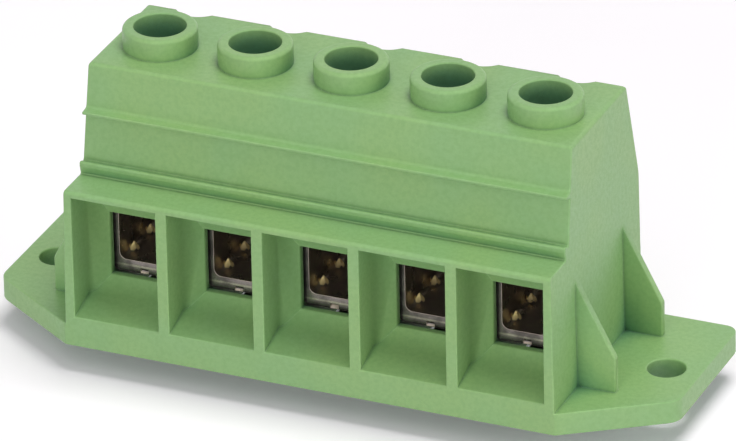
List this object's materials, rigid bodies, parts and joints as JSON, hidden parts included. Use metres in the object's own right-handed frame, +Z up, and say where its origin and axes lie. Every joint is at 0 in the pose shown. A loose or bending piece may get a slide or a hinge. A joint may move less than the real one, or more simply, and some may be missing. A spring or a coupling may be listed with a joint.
{
  "type": "pcb screw terminal",
  "caption": "Circuit-board screw terminal: a green moulded row of funnelled wire boxes with tension-sleeve clamps, screwdriver collars on top and gusseted screw flanges at the ends.",
  "frame": {"origin": "on the axis of the middle pole's clamp screw, at the moulded face that seats on the board", "axes": "+X along the row of poles, -Y towards the wire entries, +Z up out of the board, along the clamp screws"},
  "size_m": [0.1066, 0.0341, 0.0493],
  "materials": {
    "housing_plastic": "moulded satin, mid green",
    "sleeve_steel": "bright plated strip",
    "tinned_bar": "tin-plated copper",
    "screw_steel": "zinc-plated"
  },
  "bodies": {
    "housing": {"housing": "housing_plastic", "current_bar_1": "tinned_bar", "current_bar_2": "tinned_bar", "current_bar_3": "tinned_bar", "current_bar_4": "tinned_bar", "current_bar_5": "tinned_bar"},
    "sleeve_1": {"tension_sleeve_1": "sleeve_steel"},
    "screw_1": {"clamp_screw_1": "screw_steel"},
    "sleeve_2": {"tension_sleeve_2": "sleeve_steel"},
    "screw_2": {"clamp_screw_2": "screw_steel"},
    "sleeve_3": {"tension_sleeve_3": "sleeve_steel"},
    "screw_3": {"clamp_screw_3": "screw_steel"},
    "sleeve_4": {"tension_sleeve_4": "sleeve_steel"},
    "screw_4": {"clamp_screw_4": "screw_steel"},
    "sleeve_5": {"tension_sleeve_5": "sleeve_steel"},
    "screw_5": {"clamp_screw_5": "screw_steel"}
  },
  "joints": [
    {"name": "sleeve_1_lift", "type": "slide", "parent": "housing", "child": "sleeve_1", "axis": [0, 0, 1], "range_m": [-0.002, 0.007]},
    {"name": "screw_1_turn", "type": "hinge", "parent": "housing", "child": "screw_1", "pos_m": [-0.03, 0, 0.0387], "axis": [0, 0, 1], "range_deg": [-2520.5, 720.5]},
    {"name": "sleeve_2_lift", "type": "slide", "parent": "housing", "child": "sleeve_2", "axis": [0, 0, 1], "range_m": [-0.002, 0.007]},
    {"name": "screw_2_turn", "type": "hinge", "parent": "housing", "child": "screw_2", "pos_m": [-0.015, 0, 0.0387], "axis": [0, 0, 1], "range_deg": [-2520.5, 720.5]},
    {"name": "sleeve_3_lift", "type": "slide", "parent": "housing", "child": "sleeve_3", "axis": [0, 0, 1], "range_m": [-0.002, 0.007]},
    {"name": "screw_3_turn", "type": "hinge", "parent": "housing", "child": "screw_3", "pos_m": [0, 0, 0.0387], "axis": [0, 0, 1], "range_deg": [-2520.5, 720.5]},
    {"name": "sleeve_4_lift", "type": "slide", "parent": "housing", "child": "sleeve_4", "axis": [0, 0, 1], "range_m": [-0.002, 0.007]},
    {"name": "screw_4_turn", "type": "hinge", "parent": "housing", "child": "screw_4", "pos_m": [0.015, 0, 0.0387], "axis": [0, 0, 1], "range_deg": [-2520.5, 720.5]},
    {"name": "sleeve_5_lift", "type": "slide", "parent": "housing", "child": "sleeve_5", "axis": [0, 0, 1], "range_m": [-0.002, 0.007]},
    {"name": "screw_5_turn", "type": "hinge", "parent": "housing", "child": "screw_5", "pos_m": [0.03, 0, 0.0387], "axis": [0, 0, 1], "range_deg": [-2520.5, 720.5]}
  ],
  "couplings": [
    {"joint": "screw_1_turn", "follows": "sleeve_1_lift", "rad_per_m": -6283.2},
    {"joint": "screw_2_turn", "follows": "sleeve_2_lift", "rad_per_m": -6283.2},
    {"joint": "screw_3_turn", "follows": "sleeve_3_lift", "rad_per_m": -6283.2},
    {"joint": "screw_4_turn", "follows": "sleeve_4_lift", "rad_per_m": -6283.2},
    {"joint": "screw_5_turn", "follows": "sleeve_5_lift", "rad_per_m": -6283.2}
  ]
}
